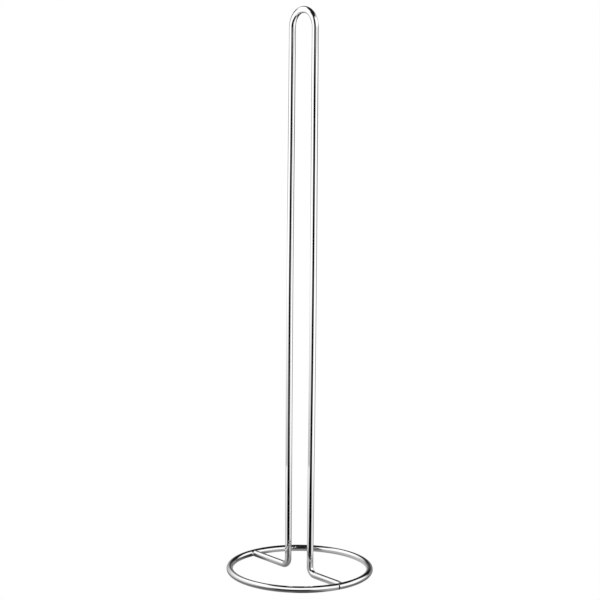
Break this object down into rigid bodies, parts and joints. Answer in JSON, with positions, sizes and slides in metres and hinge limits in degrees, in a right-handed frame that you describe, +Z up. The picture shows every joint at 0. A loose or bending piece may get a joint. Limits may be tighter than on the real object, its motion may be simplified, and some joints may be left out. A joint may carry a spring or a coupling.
{
  "type": "paper towel roll holder",
  "caption": "Free-standing chromed wire roll holder: a round base ring with a tall upright loop welded across it, which the rolls slide over.",
  "frame": {"origin": "middle of the base ring, on the surface that the ring stands on", "axes": "+Z up along the loop; X along the plane of the loop, with +X towards the foot beside the ring's seam; Y square to the loop"},
  "size_m": [0.135, 0.135, 0.515],
  "materials": {
    "wire_chrome": "bright chrome plate on drawn steel wire",
    "weld_chrome": "chrome plate over a lightly dressed weld"
  },
  "bodies": {
    "root": {"base_ring": "wire_chrome", "upright_loop": "wire_chrome", "seam_foot_weld": "weld_chrome", "plain_foot_weld": "weld_chrome"}
  },
  "joints": []
}
